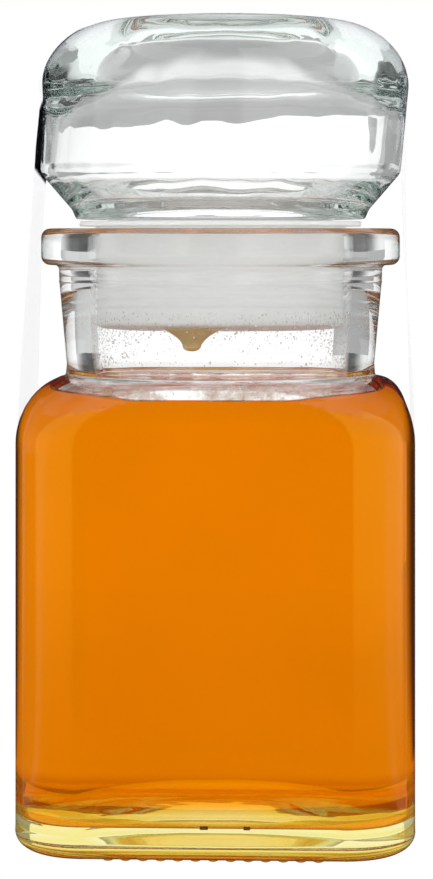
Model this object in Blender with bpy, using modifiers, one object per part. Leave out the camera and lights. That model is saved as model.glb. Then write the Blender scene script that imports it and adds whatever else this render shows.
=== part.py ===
"""Square glass honey jar with a hollow glass lid, a plastic stopper and a clear film strip.

Run with blender --background --python part.py, or from the text editor.
Lengths are written in millimetres and turned into metres where a mesh is made.
The object stands on z = 0, centred on the z axis, with its front to -Y.
"""

import math

import bmesh
import bpy
from mathutils import Matrix, Vector

MM = 0.001

# Fit between pieces that touch
GAP = 0.3

# Jar body, a square with rounded upright edges
BODY_WIDTH = 57.0
CORNER_RADIUS = 10.0
WALL = 2.75
HEEL_INSET = 4.4
HEEL_HEIGHT = 2.9
UNDERSIDE = 0.4
SHOULDER_START = 58.4
SHOULDER_RISE = 8.8
INNER_SHOULDER_START = 57.4
INNER_SHOULDER_RISE = 8.4

# Pushed-up base
PUNT_RADIUS = 21.0
PUNT_HEIGHT = 0.8
FLOOR_EDGE = 5.0
FLOOR_RISE = 1.9
FLOOR_FILLET = 2.2
DOME_RADIUS = 23.1
DOME_POWER = 4

# Bumps that the jar stands on
BUMP_HEIGHT = 0.4
BUMP_RADIUS = 0.9
BUMP_FOOT = 0.45
BUMP_PITCH = 2.47
BUMPS_BESIDE_MIDDLE = 6
BUMP_RING = 23.8
BUMP_RING_CORNER = 9.0
BUMP_CORNER_ANGLES = (26.0, 64.0)

# Neck and flange
NECK_FOOT_RADIUS = 22.9
NECK_TOP_RADIUS = 24.1
BORE_TOP_RADIUS = 19.9
BORE_FOOT_RADIUS = 18.9
NECK_FOOT = 68.6
FLANGE_RADIUS = 26.7
FLANGE_BOTTOM = 83.8
FLANGE_TOP = 89.2
FLANGE_EDGE = 1.3

# Filling
HONEY_LEVEL = 63.7

# Plastic stopper
DISC_RADIUS = 21.0
DISC_THICKNESS = 0.8
SKIRT_RADIUS = 18.5
SKIRT_WALL = 1.3
STOPPER_BOTTOM = 75.5
STOPPER_FLOOR = 1.1
RIB_DEPTH = 0.35
RIB_COUNT = 5
RIB_PITCH = 1.3
LOWEST_RIB = 78.6
SLOT_WIDTH = 2.7
SLOT_HEIGHT = 2.9
SLOT_MIDDLE = 80.6
SLOT_BEARING = 196.0

# Glass lid
LID_RADIUS = 27.2
LID_TOP = 120.0
LID_DISH = 0.35
LID_ROUNDING = 11.3
LID_WIDEST = 110.2
LID_CORNER = (26.85, 98.4)
LID_FOOT_RADIUS = 21.9
LID_CAVITY_RADIUS = 24.7
LID_CAVITY_ROUNDING = 11.0
LID_CAVITY_BEND = 105.0
LID_CAVITY_CORNER = 97.6
LID_CAVITY_FOOT = 20.6
LID_CAVITY_FLOOR = 93.8
LID_CEILING = 114.6
STEM_RADIUS = 16.7
STEM_BORE = 13.9
STEM_BOTTOM = 78.0
LID_LEAN = 0.8

# Clear film strip
FILM_THICKNESS = 0.2
FILM_FRONT = -16.0
FILM_BACK = 9.0
FILM_LEFT_END = 16.0
FILM_RIGHT_END = 10.0
FILM_LEAVES_LID = 108.0
FILM_LIES_ON_LID = 118.0
FILM_COLUMNS = 7
FILM_FLAT_HALF = 3.0

# Drop of honey under the stopper
DRIP_PLACE = (-4.05, -3.0)
DRIP_RADIUS = 4.4
DRIP_LENGTH = 4.1

# Mesh fineness
CORNER_POINTS = 12
TURNED_STEPS = 48
DRIP_STEPS = 20
BUMP_SIDES = 7

HALF_WIDTH = BODY_WIDTH / 2
INNER_HALF = HALF_WIDTH - WALL
INNER_CORNER = CORNER_RADIUS - WALL
DISC_BOTTOM = FLANGE_TOP + GAP
DISC_TOP = DISC_BOTTOM + DISC_THICKNESS
LID_BOTTOM = DISC_TOP + GAP


def clear_scene():
    for obj in list(bpy.data.objects):
        bpy.data.objects.remove(obj, do_unlink=True)


def new_collection(name):
    collection = bpy.data.collections.new(name)
    bpy.context.scene.collection.children.link(collection)
    return collection


def new_material(name, colour, roughness, transmission=0.0, ior=1.5):
    material = bpy.data.materials.new(name)
    material.use_nodes = True
    shader = material.node_tree.nodes["Principled BSDF"]
    shader.inputs["Base Color"].default_value = (*colour, 1.0)
    shader.inputs["Roughness"].default_value = roughness
    shader.inputs["Metallic"].default_value = 0.0
    shader.inputs["Transmission Weight"].default_value = transmission
    shader.inputs["IOR"].default_value = ior
    material.diffuse_color = (*colour, 1.0)
    return material


def new_object(name, bm, collection, material=None, smooth=True):
    mesh = bpy.data.meshes.new(name)
    bmesh.ops.recalc_face_normals(bm, faces=bm.faces)
    bm.to_mesh(mesh)
    bm.free()
    for polygon in mesh.polygons:
        polygon.use_smooth = smooth
    obj = bpy.data.objects.new(name, mesh)
    if material is not None:
        obj.data.materials.append(material)
    collection.objects.link(obj)
    return obj


def arc(centre, radii, start, stop, steps):
    """Points (radius, height) of an elliptical arc between two angles in degrees."""
    points = []
    for step in range(steps + 1):
        angle = math.radians(start + (stop - start) * step / steps)
        points.append((centre[0] + radii[0] * math.cos(angle), centre[1] + radii[1] * math.sin(angle)))
    return points


def smooth_share(value, start, stop):
    """Share from 0 to 1 of the way from start to stop, eased at both ends."""
    share = min(max((value - start) / (stop - start), 0.0), 1.0)
    return share * share * (3 - 2 * share)


def section(half_width, corner_radius, height):
    """Ring of points round a rounded square; it is a circle where the radius equals the half width."""
    ring = []
    straight = half_width - corner_radius
    for corner in range(4):
        middle = math.radians(45 + 90 * corner)
        centre = Vector((math.copysign(straight, math.cos(middle)), math.copysign(straight, math.sin(middle))))
        for point in range(CORNER_POINTS):
            angle = math.radians(90 * corner + 90 * (point + 0.5) / CORNER_POINTS)
            spot = centre + corner_radius * Vector((math.cos(angle), math.sin(angle)))
            ring.append(Vector((spot.x, spot.y, height)) * MM)
    return ring


def loft(name, sections, collection, material):
    """Closed body through a list of (half width, corner radius, height), with a flat cap at each end."""
    bm = bmesh.new()
    rings = [[bm.verts.new(spot) for spot in section(*shape)] for shape in sections]
    for lower, upper in zip(rings, rings[1:]):
        for index in range(len(lower)):
            after = (index + 1) % len(lower)
            bm.faces.new((lower[index], lower[after], upper[after], upper[index]))
    bm.faces.new(rings[0])
    bm.faces.new(rings[-1])
    return new_object(name, bm, collection, material)


def round_shapes(points):
    return [(radius, radius, height) for radius, height in points]


def shoulder_shapes(half_width, corner_radius, neck_radius, start, rise, angles, inset=0.0):
    """Sections that lead the square wall over into the round neck, along a quarter of an ellipse."""
    shapes = []
    for degrees in angles:
        angle = math.radians(degrees)
        width = neck_radius + (half_width - neck_radius) * math.cos(angle)
        straight = (half_width - corner_radius) * math.cos(angle)
        shapes.append((width - inset, width - inset - straight, start + rise * math.sin(angle)))
    return shapes


def outer_shapes():
    """Outside of the jar, from the middle of the pushed-up base to the rim of the flange."""
    shapes = []
    for share in (0.2, 0.5, 0.8, 1.0):
        shapes.append((PUNT_RADIUS * share, PUNT_RADIUS * share, UNDERSIDE + PUNT_HEIGHT * (1 - share**2)))
    bearing = HALF_WIDTH - HEEL_INSET
    for degrees in (0, 22, 42, 60, 76, 90):
        angle = math.radians(degrees)
        width = bearing + HEEL_INSET * math.sin(angle)
        height = UNDERSIDE + HEEL_HEIGHT * (1 - math.cos(angle))
        shapes.append((width, width - (HALF_WIDTH - CORNER_RADIUS), height))
    shapes += shoulder_shapes(
        HALF_WIDTH, CORNER_RADIUS, NECK_FOOT_RADIUS + 0.2, SHOULDER_START, SHOULDER_RISE, (0, 16, 31, 45, 58, 69, 79)
    )
    shapes += round_shapes([(NECK_FOOT_RADIUS + 0.3, NECK_FOOT - 1.1), (NECK_FOOT_RADIUS, NECK_FOOT)])
    shapes += round_shapes([(NECK_TOP_RADIUS, FLANGE_BOTTOM - 0.5), (NECK_TOP_RADIUS + 0.5, FLANGE_BOTTOM)])
    rim = FLANGE_RADIUS - FLANGE_EDGE
    radii = (FLANGE_EDGE, FLANGE_EDGE)
    shapes += round_shapes(arc((rim, FLANGE_BOTTOM + FLANGE_EDGE), radii, -90, 0, 3))
    shapes += round_shapes(arc((rim, FLANGE_TOP - FLANGE_EDGE), radii, 0, 90, 3))
    return shapes


def floor_shapes(clearance):
    """Inside of the base, from the wall to the middle of the floor, lifted by a clearance."""
    edge_half = INNER_HALF - clearance
    straight = INNER_HALF - INNER_CORNER
    shapes = []
    for radius, height in arc((-FLOOR_FILLET, FLOOR_FILLET), (FLOOR_FILLET, FLOOR_FILLET), 0, -70, 3):
        width = edge_half + radius
        shapes.append((width, width - straight, FLOOR_EDGE + clearance + height))
    for share in (1.0, 0.88, 0.7, 0.4, 0.1):
        height = FLOOR_EDGE + clearance + FLOOR_RISE * (1 - share**DOME_POWER)
        shapes.append((DOME_RADIUS * share, DOME_RADIUS * share, height))
    return shapes


def inner_shapes():
    """Inside of the jar, from the rim of the bore down to the middle of the floor."""
    shapes = round_shapes([(BORE_TOP_RADIUS + 0.7, FLANGE_TOP), (BORE_TOP_RADIUS, FLANGE_TOP - 0.7)])
    shapes += round_shapes([(BORE_TOP_RADIUS, FLANGE_BOTTOM), (BORE_FOOT_RADIUS, NECK_FOOT - 1.4)])
    shapes += round_shapes([(BORE_FOOT_RADIUS + 0.5, NECK_FOOT - 2.5)])
    shapes += shoulder_shapes(
        INNER_HALF,
        INNER_CORNER,
        BORE_FOOT_RADIUS + 0.6,
        INNER_SHOULDER_START,
        INNER_SHOULDER_RISE,
        (80, 69, 57, 44, 30, 15, 0),
    )
    return shapes + floor_shapes(0.0)


def bump_places():
    """Places (x, y) of the bumps on a rounded square, a straight row on each side and two at each corner."""
    row = [BUMP_PITCH * step for step in range(-BUMPS_BESIDE_MIDDLE, BUMPS_BESIDE_MIDDLE + 1)]
    places = []
    for side in range(4):
        turn = Matrix.Rotation(math.radians(90 * side), 2)
        places += [turn @ Vector((offset, -BUMP_RING)) for offset in row]
        corner = Vector((BUMP_RING - BUMP_RING_CORNER, BUMP_RING_CORNER - BUMP_RING))
        for degrees in BUMP_CORNER_ANGLES:
            angle = math.radians(degrees - 90)
            places.append(turn @ (corner + BUMP_RING_CORNER * Vector((math.cos(angle), math.sin(angle)))))
    return places


def make_bumps(collection):
    """All the bumps as one object: short cones that stand half inside the base."""
    bm = bmesh.new()
    height = 2 * BUMP_HEIGHT
    for place in bump_places():
        spot = Matrix.Translation(Vector((place.x, place.y, height / 2)) * MM)
        bmesh.ops.create_cone(
            bm,
            cap_ends=True,
            segments=BUMP_SIDES,
            radius1=BUMP_FOOT * MM,
            radius2=BUMP_RADIUS * MM,
            depth=height * MM,
            matrix=spot,
        )
    return new_object("bumps", bm, collection, smooth=False)


def join_bodies(obj, other, operation):
    modifier = obj.modifiers.new(operation.lower(), "BOOLEAN")
    modifier.operation = operation
    modifier.solver = "EXACT"
    modifier.object = other
    other.hide_render = True
    other.display_type = "WIRE"


def make_jar(parts, cutters, material):
    jar = loft("jar", outer_shapes() + inner_shapes(), parts, material)
    join_bodies(jar, make_bumps(cutters), "UNION")
    return jar


def make_honey(parts, material):
    """Filling: the inside of the jar up to the level, less the gap."""
    inset = GAP * 1.4
    shoulder = shoulder_shapes(
        INNER_HALF,
        INNER_CORNER,
        BORE_FOOT_RADIUS + 0.6,
        INNER_SHOULDER_START - GAP,
        INNER_SHOULDER_RISE,
        (70, 63, 54, 42, 28, 14, 0),
        inset,
    )
    top = HONEY_LEVEL
    shapes = [(width, corner, min(height, top)) for width, corner, height in shoulder]
    return loft("honey", shapes + floor_shapes(GAP), parts, material)


def turned(name, profile, steps, collection, material):
    """Turned body: a profile of (radius, height) points from axis to axis, down its outer side first."""
    bm = bmesh.new()
    corners = [bm.verts.new(Vector((radius, 0.0, height)) * MM) for radius, height in profile]
    for first, second in zip(corners, corners[1:]):
        bm.edges.new((first, second))
    obj = new_object(name, bm, collection, material)
    screw = obj.modifiers.new("turn", "SCREW")
    screw.axis = "Z"
    screw.angle = math.tau
    screw.steps = steps
    screw.render_steps = steps
    screw.use_merge_vertices = True
    screw.merge_threshold = 0.00001
    screw.use_smooth_shade = True
    return obj


def make_stopper(parts, cutters, material):
    """Plastic cup with a disc on the flange, ribs round its skirt and a small slot."""
    inner = SKIRT_RADIUS - SKIRT_WALL
    profile = [(0.0, STOPPER_BOTTOM + STOPPER_FLOOR), (inner, STOPPER_BOTTOM + STOPPER_FLOOR)]
    profile += [(inner, DISC_TOP), (DISC_RADIUS, DISC_TOP), (DISC_RADIUS, DISC_BOTTOM)]
    profile += [(SKIRT_RADIUS, DISC_BOTTOM)]
    for rib in reversed(range(RIB_COUNT)):
        middle = LOWEST_RIB + RIB_PITCH * rib
        profile += [(SKIRT_RADIUS, middle + 0.4), (SKIRT_RADIUS + RIB_DEPTH, middle), (SKIRT_RADIUS, middle - 0.4)]
    profile += [(SKIRT_RADIUS, STOPPER_BOTTOM + 0.6), (SKIRT_RADIUS - 0.6, STOPPER_BOTTOM), (0.0, STOPPER_BOTTOM)]
    stopper = turned("stopper", profile, TURNED_STEPS, parts, material)
    bm = bmesh.new()
    bearing = Matrix.Rotation(math.radians(SLOT_BEARING), 4, "Z")
    place = Matrix.Translation(Vector((SKIRT_RADIUS, 0.0, SLOT_MIDDLE)) * MM)
    size = Matrix.Diagonal(Vector((3 * SKIRT_WALL, SLOT_WIDTH, SLOT_HEIGHT, 1 / MM))) * MM
    bmesh.ops.create_cube(bm, size=1.0, matrix=bearing @ place @ size)
    join_bodies(stopper, new_object("slot", bm, cutters, smooth=False), "DIFFERENCE")
    return stopper


def lid_lean(height):
    """How far the bubble of the lid has sagged to the right at a height."""
    return LID_LEAN * smooth_share(height, LID_CORNER[1], LID_WIDEST)


def lid_dome(grow=0.0, steps=7):
    """Outside of the lid from its flat top round to its widest place, grown by a distance."""
    centre = (LID_RADIUS - LID_ROUNDING, LID_WIDEST)
    radii = (LID_ROUNDING + grow, LID_TOP - LID_WIDEST + grow)
    return arc(centre, radii, 90, 0, steps)


def make_lid(parts, material):
    """Hollow glass lid with a tubular stem that stands in the stopper."""
    corner_radius, corner_height = LID_CORNER
    profile = [(0.0, LID_TOP - LID_DISH), (LID_RADIUS - LID_ROUNDING - 5.0, LID_TOP - LID_DISH / 2)]
    profile += lid_dome()
    profile += [(corner_radius, corner_height), (corner_radius - 0.6, corner_height - 1.3)]
    profile += [(LID_FOOT_RADIUS, LID_BOTTOM + 1.2), (LID_FOOT_RADIUS - 0.7, LID_BOTTOM)]
    profile += [(STEM_RADIUS, LID_BOTTOM), (STEM_RADIUS, STEM_BOTTOM + 0.5), (STEM_RADIUS - 0.5, STEM_BOTTOM)]
    profile += [(STEM_BORE, STEM_BOTTOM), (STEM_BORE, LID_CAVITY_FLOOR - 1.2)]
    profile += [(STEM_BORE + 0.4, LID_CAVITY_FLOOR - 0.4), (STEM_BORE + 1.2, LID_CAVITY_FLOOR)]
    profile += [(LID_CAVITY_FOOT - 0.7, LID_CAVITY_FLOOR), (LID_CAVITY_FOOT + 0.5, LID_CAVITY_FLOOR + 0.5)]
    profile += [(LID_CAVITY_RADIUS - 1.0, LID_CAVITY_CORNER - 0.9), (LID_CAVITY_RADIUS, LID_CAVITY_CORNER + 1.2)]
    centre = (LID_CAVITY_RADIUS - LID_CAVITY_ROUNDING, LID_CAVITY_BEND)
    profile += arc(centre, (LID_CAVITY_ROUNDING, LID_CEILING - LID_CAVITY_BEND), 0, 90, 6)
    profile += [(0.0, LID_CEILING + 0.2)]
    lid = turned("lid", profile, TURNED_STEPS, parts, material)
    graph = bpy.context.evaluated_depsgraph_get()
    lid.data = bpy.data.meshes.new_from_object(lid.evaluated_get(graph))
    lid.modifiers.clear()
    for vertex in lid.data.vertices:
        vertex.co.x += lid_lean(vertex.co.z / MM) * MM
    return lid


def film_row(y):
    """One line along the film strip, from its left end over the lid to its right end, at a depth y.

    On the dome the film hugs the round lid; below it the film hangs flat across its width.
    """
    stand_off = GAP + FILM_THICKNESS / 2
    side = HALF_WIDTH + stand_off
    dome = []
    for radius, height in lid_dome(stand_off, 8):
        hug = smooth_share(height, FILM_LEAVES_LID, FILM_LIES_ON_LID)
        dome.append((math.sqrt(max(radius**2 - hug * y**2, FILM_FLAT_HALF**2)), height))
    left = [(-side, FILM_LEFT_END), (-side, SHOULDER_START - 2.0)]
    left += [(lid_lean(height) - radius, height) for radius, height in reversed(dome)]
    right = [(lid_lean(height) + radius, height) for radius, height in dome]
    right += [(side, SHOULDER_START - 2.0), (side, FILM_RIGHT_END)]
    return [Vector((x, y, height)) * MM for x, height in left + right]


def make_film(parts, material):
    bm = bmesh.new()
    rows = []
    for column in range(FILM_COLUMNS):
        y = FILM_FRONT + (FILM_BACK - FILM_FRONT) * column / (FILM_COLUMNS - 1)
        rows.append([bm.verts.new(spot) for spot in film_row(y)])
    for front, back in zip(rows, rows[1:]):
        for step in range(len(front) - 1):
            bm.faces.new((front[step], front[step + 1], back[step + 1], back[step]))
    film = new_object("film_strip", bm, parts, material)
    solidify = film.modifiers.new("thickness", "SOLIDIFY")
    solidify.thickness = FILM_THICKNESS * MM
    solidify.offset = 0.0
    return film


def make_drip(parts, material):
    """Drop of honey: wide where it clings to the stopper, with a round tip."""
    top = STOPPER_BOTTOM - GAP
    profile = [(0.0, top), (DRIP_RADIUS, top)]
    for share in (0.15, 0.35, 0.55, 0.75):
        profile.append((DRIP_RADIUS * (1 - share) ** 0.9, top - DRIP_LENGTH * share))
    tip = (DRIP_RADIUS * 0.16, top - DRIP_LENGTH * 0.95)
    profile += [tip, (0.0, top - DRIP_LENGTH)]
    drip = turned("honey_drip", profile, DRIP_STEPS, parts, material)
    drip.location = Vector((DRIP_PLACE[0], DRIP_PLACE[1], 0.0)) * MM
    return drip


def main():
    clear_scene()
    parts = new_collection("honey_jar")
    cutters = new_collection("cutters")
    cutters.hide_render = True
    glass = new_material("clear_glass", (0.93, 0.95, 0.94), 0.02, 1.0, 1.52)
    honey = new_material("honey", (0.80, 0.24, 0.01), 0.08, 0.6, 1.49)
    plastic = new_material("milky_plastic", (0.80, 0.80, 0.78), 0.35, 0.3, 1.5)
    film = new_material("clear_film", (0.88, 0.88, 0.93), 0.15, 0.8, 1.5)
    make_jar(parts, cutters, glass)
    make_honey(parts, honey)
    make_stopper(parts, cutters, plastic)
    make_lid(parts, glass)
    make_film(parts, film)
    make_drip(parts, honey)


main()
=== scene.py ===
"""Looks of the honey jar: glass, honey, stopper, hollow lid, film strip and a white studio.

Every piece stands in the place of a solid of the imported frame. Lengths are written in
millimetres and turned into metres where a mesh is made.
"""

import math
import random

import bmesh
import bpy
from mathutils import Matrix, Vector, noise


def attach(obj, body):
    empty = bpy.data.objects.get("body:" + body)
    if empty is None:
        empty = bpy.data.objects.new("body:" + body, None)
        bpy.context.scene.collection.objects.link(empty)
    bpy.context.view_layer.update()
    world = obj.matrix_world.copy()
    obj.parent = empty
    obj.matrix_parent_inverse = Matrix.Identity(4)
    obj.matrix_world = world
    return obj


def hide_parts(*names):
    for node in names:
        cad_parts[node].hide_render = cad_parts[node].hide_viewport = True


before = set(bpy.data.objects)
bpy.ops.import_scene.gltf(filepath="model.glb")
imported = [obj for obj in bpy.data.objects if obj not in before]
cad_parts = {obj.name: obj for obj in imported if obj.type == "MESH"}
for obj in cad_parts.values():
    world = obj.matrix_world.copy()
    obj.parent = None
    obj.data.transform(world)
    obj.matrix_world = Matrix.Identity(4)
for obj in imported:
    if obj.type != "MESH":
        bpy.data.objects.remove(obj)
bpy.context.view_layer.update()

MM = 0.001
BODY = "root"

# Jar body
HALF_WIDTH = 28.5
CORNER_RADIUS = 10.0
WALL = 2.75
HEEL_INSET = 4.4
HEEL_HEIGHT = 2.9
UNDERSIDE = 0.4
SHOULDER_START = 58.4
SHOULDER_RISE = 8.8
INNER_SHOULDER_START = 57.4
INNER_SHOULDER_RISE = 8.4
INNER_HALF = HALF_WIDTH - WALL
INNER_CORNER = CORNER_RADIUS - WALL
SEAM_HEIGHT = 3.5
SEAM_RIDGE = 0.06

# Pushed-up base and its floor
PUNT_RADIUS = 21.0
PUNT_HEIGHT = 0.8
FLOOR_EDGE = 5.0
FLOOR_RISE = 1.9
FLOOR_FILLET = 2.2
DOME_RADIUS = 23.1
DOME_POWER = 7.0

# Bumps under the base
BUMP_RADIUS = 0.9
BUMP_PITCH = 2.47
BUMPS_BESIDE_MIDDLE = 6
BUMP_RING = 23.8
BUMP_RING_CORNER = 9.0
BUMP_CORNER_ANGLES = (26.0, 64.0)

# Neck and flange
NECK_FOOT_RADIUS = 22.9
NECK_TOP_RADIUS = 24.1
BORE_TOP_RADIUS = 19.9
BORE_FOOT_RADIUS = 18.9
NECK_FOOT = 68.6
PARTING_LINE = 81.3
FLANGE_RADIUS = 26.7
FLANGE_BOTTOM = 83.8
FLANGE_TOP = 89.2
FLANGE_EDGE = 1.3

# Honey
HONEY_LEVEL = 63.7
FROTH_HEIGHT = 1.7
WALL_OVERLAP = 0.06
MENISCUS_HEIGHT = 0.5
MENISCUS_WIDTH = 2.0

# Stopper
DISC_RADIUS = 21.0
DISC_BOTTOM = 89.5
DISC_TOP = 90.3
SKIRT_RADIUS = 18.5
SKIRT_WALL = 1.3
STOPPER_BOTTOM = 75.5
STOPPER_FLOOR = 1.1
RIB_DEPTH = 0.3
RIB_COUNT = 5
RIB_PITCH = 1.3
LOWEST_RIB = 78.6
SLOT_WIDTH = 2.7
SLOT_HEIGHT = 2.9
SLOT_MIDDLE = 80.6
SLOT_BEARING = 196.0

# Lid
LID_RADIUS = 27.2
LID_TOP = 120.0
LID_DISH = 0.35
LID_ROUNDING = 11.3
LID_WIDEST = 110.2
LID_CORNER = (26.85, 98.4)
LID_BOTTOM = 90.6
LID_FOOT_RADIUS = 21.9
LID_CAVITY_RADIUS = 24.7
LID_CAVITY_ROUNDING = 11.0
LID_CAVITY_BEND = 105.0
LID_CAVITY_CORNER = 97.6
LID_CAVITY_FOOT = 20.6
LID_CAVITY_FLOOR = 93.8
LID_CEILING = 114.6
STEM_RADIUS = 16.7
STEM_BORE = 13.9
STEM_BOTTOM = 78.0
LID_LEAN = 0.8

# Film strip
FILM_STAND_OFF = 0.12
FILM_THICKNESS = 0.12
FILM_FRONT = -16.0
FILM_BACK = 9.0
FILM_LEFT_END = 16.0
FILM_RIGHT_END = 10.0
FILM_LEFT_HANG = [(-26.85, 101.0), (-27.15, 96.0), (-27.7, 87.5), (-28.3, 66.0), (-28.62, 57.0)]
FILM_RIGHT_HANG = [(27.7, 96.0), (27.8, 88.0), (28.3, 66.0), (28.62, 57.0)]
FILM_TWIST = 1.0
FILM_LEAVES_LID = 108.0
FILM_LIES_ON_LID = 118.0
FILM_FLAT_HALF = 3.0
FILM_COLOUR = (0.78, 0.78, 0.9)
FILM_COVER = 0.06

# Dark printed field on the film's left side, which lies where two slanted bands cross, and a streak above it
PRINT_COLOUR = (0.006, 0.006, 0.008)
PRINT_BANDS = [(0.148, 90.0, 108.8), (-0.064, 96.7, 120.0)]
PRINT_BAND_EDGE = 0.3
STREAK_HEIGHTS = (108.0, 119.0)
STREAK_HALF = 3.5
STREAK_EDGE = 0.5

# Drop of honey under the stopper
DRIP_PLACE = (-4.05, -3.0)
DRIP_RADIUS = 4.4
DRIP_LENGTH = 4.1
DRIP_TIP_RADIUS = 1.5
DRIP_TIP_HEIGHT = 1.1

# Droplets on the inside of the neck
DROPLETS = 4200
DROPLET_HIGHEST = 77.5
DROPLET_SMALLEST = 0.045
DROPLET_SPREAD = 0.12

# Small dark marks in the front wall
MARK_PLACES = (-1.1, 4.9)
MARK_WIDTHS = (1.15, 0.95)
MARK_DEPTH = -27.9
MARK_HEIGHT = 5.6

# Camera, fitted to the photo's perspective: it looks level, and its frame is shifted down as in the photo
CAMERA_DISTANCE = 420.0
CAMERA_HEIGHT = 87.5
CAMERA_BEARING = 2.5
CAMERA_AIM = -0.6
CAMERA_DROP = -0.227
LENS = 115.3

# Parts of the room, all in degrees but the last number: bearing from, to (0 behind the jar, 90 at its
# right), elevation from, to, softness, added brightness. Light on its way through glass meets the first
# list, and mirrored light the second.
BACKLIGHT = [
    (-110.0, -32.0, -95.0, 40.0, 6.0, 0.25),
    (100.0, 185.0, -95.0, 60.0, 6.0, 0.5),
    (-185.0, -110.0, -95.0, 60.0, 6.0, 0.5),
    (-185.0, 185.0, 55.0, 95.0, 8.0, 0.45),
]
SOFTBOXES = [
    (-163.0, -95.0, -8.0, 60.0, 4.0, 1.0),
    (70.0, 166.0, -8.0, 60.0, 4.0, 1.2),
]
ROOM_THROUGH_GLASS = 0.45
ROOM_MIRRORED = 0.02
DIFFUSE_LEVEL = 2.1

# Bright panel behind the jar, with two levels and a soft step between them
PANEL_DEPTH = 300.0
PANEL_LEFT = -190.0
PANEL_RIGHT = 100.0
PANEL_TOP = 167.0
PANEL_LOW_LEVEL = 1.02
PANEL_HIGH_LEVEL = 1.22
PANEL_STEP = (44.0, 58.0)

# Floor: bright ahead of the jar's flat sides and close by, dim along its diagonals (degrees and millimetres)
FLOOR_LEVEL = 0.93
DIAGONAL_LEVEL = 0.1
BRIGHT_AHEAD = (22.0, 46.0)
BRIGHT_ASIDE = (76.0, 88.0)
BRIGHT_NEAR = (50.0, 75.0)
WHITE_FAR = (120.0, 300.0)

# Clear materials: refraction and loss of light per metre in red, green and blue
GLASS_IOR = 1.52
HONEY_IOR = 1.49
WATER_IOR = 1.33
JAR_LOSS = (1.6, 0.8, 1.1)
LID_LOSS = (2.6, 1.3, 1.8)
HONEY_LOSS = (3.0, 29.3, 165.0)
DROP_LOSS = (1.5, 12.0, 80.0)
WATER_LOSS = (0.5, 0.3, 0.3)
AMBER_GLEAM = (1.0, 0.9, 0.08)

# Painted glow on the jar's foot: a colour by height that stands in for the honey's light, up to the top of
# the ramp
HEEL_GLOW_TOP = 8.0
HEEL_PAINTED_GLOW = [
    (1.1, (0.36, 0.1, 0.003)),
    (1.8, (0.7, 0.34, 0.02)),
    (2.3, (1.0, 0.76, 0.1)),
    (3.2, (0.96, 0.82, 0.34)),
    (5.0, (0.88, 0.76, 0.26)),
    (6.2, (1.0, 1.0, 1.0)),
]

# Mesh fineness
CORNER_STEPS = 20
SIDE_STEPS = 20
TURNED_STEPS = 180


def arc(centre, radii, start, stop, steps):
    """Points (radius, height) of an elliptical arc between two angles in degrees."""
    points = []
    for step in range(steps + 1):
        angle = math.radians(start + (stop - start) * step / steps)
        points.append((centre[0] + radii[0] * math.cos(angle), centre[1] + radii[1] * math.sin(angle)))
    return points


def smooth_share(value, start, stop):
    """Share from 0 to 1 of the way from start to stop, eased at both ends."""
    share = min(max((value - start) / (stop - start), 0.0), 1.0)
    return share * share * (3 - 2 * share)


def rounded(corners, steps=6):
    """Path (radius, height) through corners given as (radius, height, fillet), each fillet a round arc."""
    path = [corners[0][:2]]
    for before, here, after in zip(corners, corners[1:], corners[2:]):
        fillet = here[2] if len(here) > 2 else 0.0
        spot = Vector(here[:2])
        if fillet <= 0:
            path.append(tuple(spot))
            continue
        back = (Vector(before[:2]) - spot).normalized()
        ahead = (Vector(after[:2]) - spot).normalized()
        half = back.angle(ahead) / 2
        reach = fillet / math.tan(half)
        centre = spot + (back + ahead).normalized() * fillet / math.sin(half)
        start, stop = spot + back * reach - centre, spot + ahead * reach - centre
        turn = start.angle_signed(stop)
        for step in range(steps + 1):
            path.append(tuple(centre + Matrix.Rotation(-turn * step / steps, 2) @ start))
    path.append(corners[-1][:2])
    return path


def polar_angles():
    """Directions of the points of every section: close together at the corners, even along the sides."""
    straight = HALF_WIDTH - CORNER_RADIUS
    angles = []
    for quarter in range(4):
        turn = math.pi / 2 * quarter
        for step in range(CORNER_STEPS):
            bend = math.pi / 2 * step / CORNER_STEPS
            x, y = straight + CORNER_RADIUS * math.cos(bend), straight + CORNER_RADIUS * math.sin(bend)
            angles.append(turn + math.atan2(y, x))
        for step in range(SIDE_STEPS):
            x = straight - 2 * straight * step / SIDE_STEPS
            angles.append(turn + math.atan2(HALF_WIDTH, x))
    return angles


ANGLES = polar_angles()


def reach(half_width, corner_radius, angle):
    """Distance from the axis to the edge of a rounded square in a direction."""
    folded = angle % (math.pi / 2)
    folded = min(folded, math.pi / 2 - folded)
    straight = half_width - corner_radius
    if half_width * math.tan(folded) <= straight:
        return half_width / math.cos(folded)
    along = straight * (math.cos(folded) + math.sin(folded))
    return along + math.sqrt(max(along**2 - 2 * straight**2 + corner_radius**2, 0.0))


def section(half_width, corner_radius, height):
    """Ring round a rounded square; it is a circle where the radius equals the half width."""
    ring = []
    for angle in ANGLES:
        distance = reach(half_width, corner_radius, angle)
        ring.append(Vector((distance * math.cos(angle), distance * math.sin(angle), height)) * MM)
    return ring


def circle(radius, height, steps=TURNED_STEPS):
    ring = []
    for step in range(steps):
        angle = math.tau * step / steps
        ring.append(Vector((radius * math.cos(angle), radius * math.sin(angle), height)) * MM)
    return ring


def round_shapes(points):
    return [(radius, radius, height) for radius, height in points]


def add_bands(bm, rings, closed=False):
    """Faces through a list of rings, and from the last one back to the first where closed."""
    loops = [[bm.verts.new(spot) for spot in ring] for ring in rings]
    uppers = loops[1:] + loops[:1] if closed else loops[1:]
    for lower, upper in zip(loops, uppers):
        for index in range(len(lower)):
            after = (index + 1) % len(lower)
            bm.faces.new((lower[index], lower[after], upper[after], upper[index]))
    return loops


def add_skin(bm, rings):
    """Faces through a list of rings, with a flat cap at each end."""
    loops = add_bands(bm, rings)
    bm.faces.new(loops[0])
    bm.faces.new(loops[-1])


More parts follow.
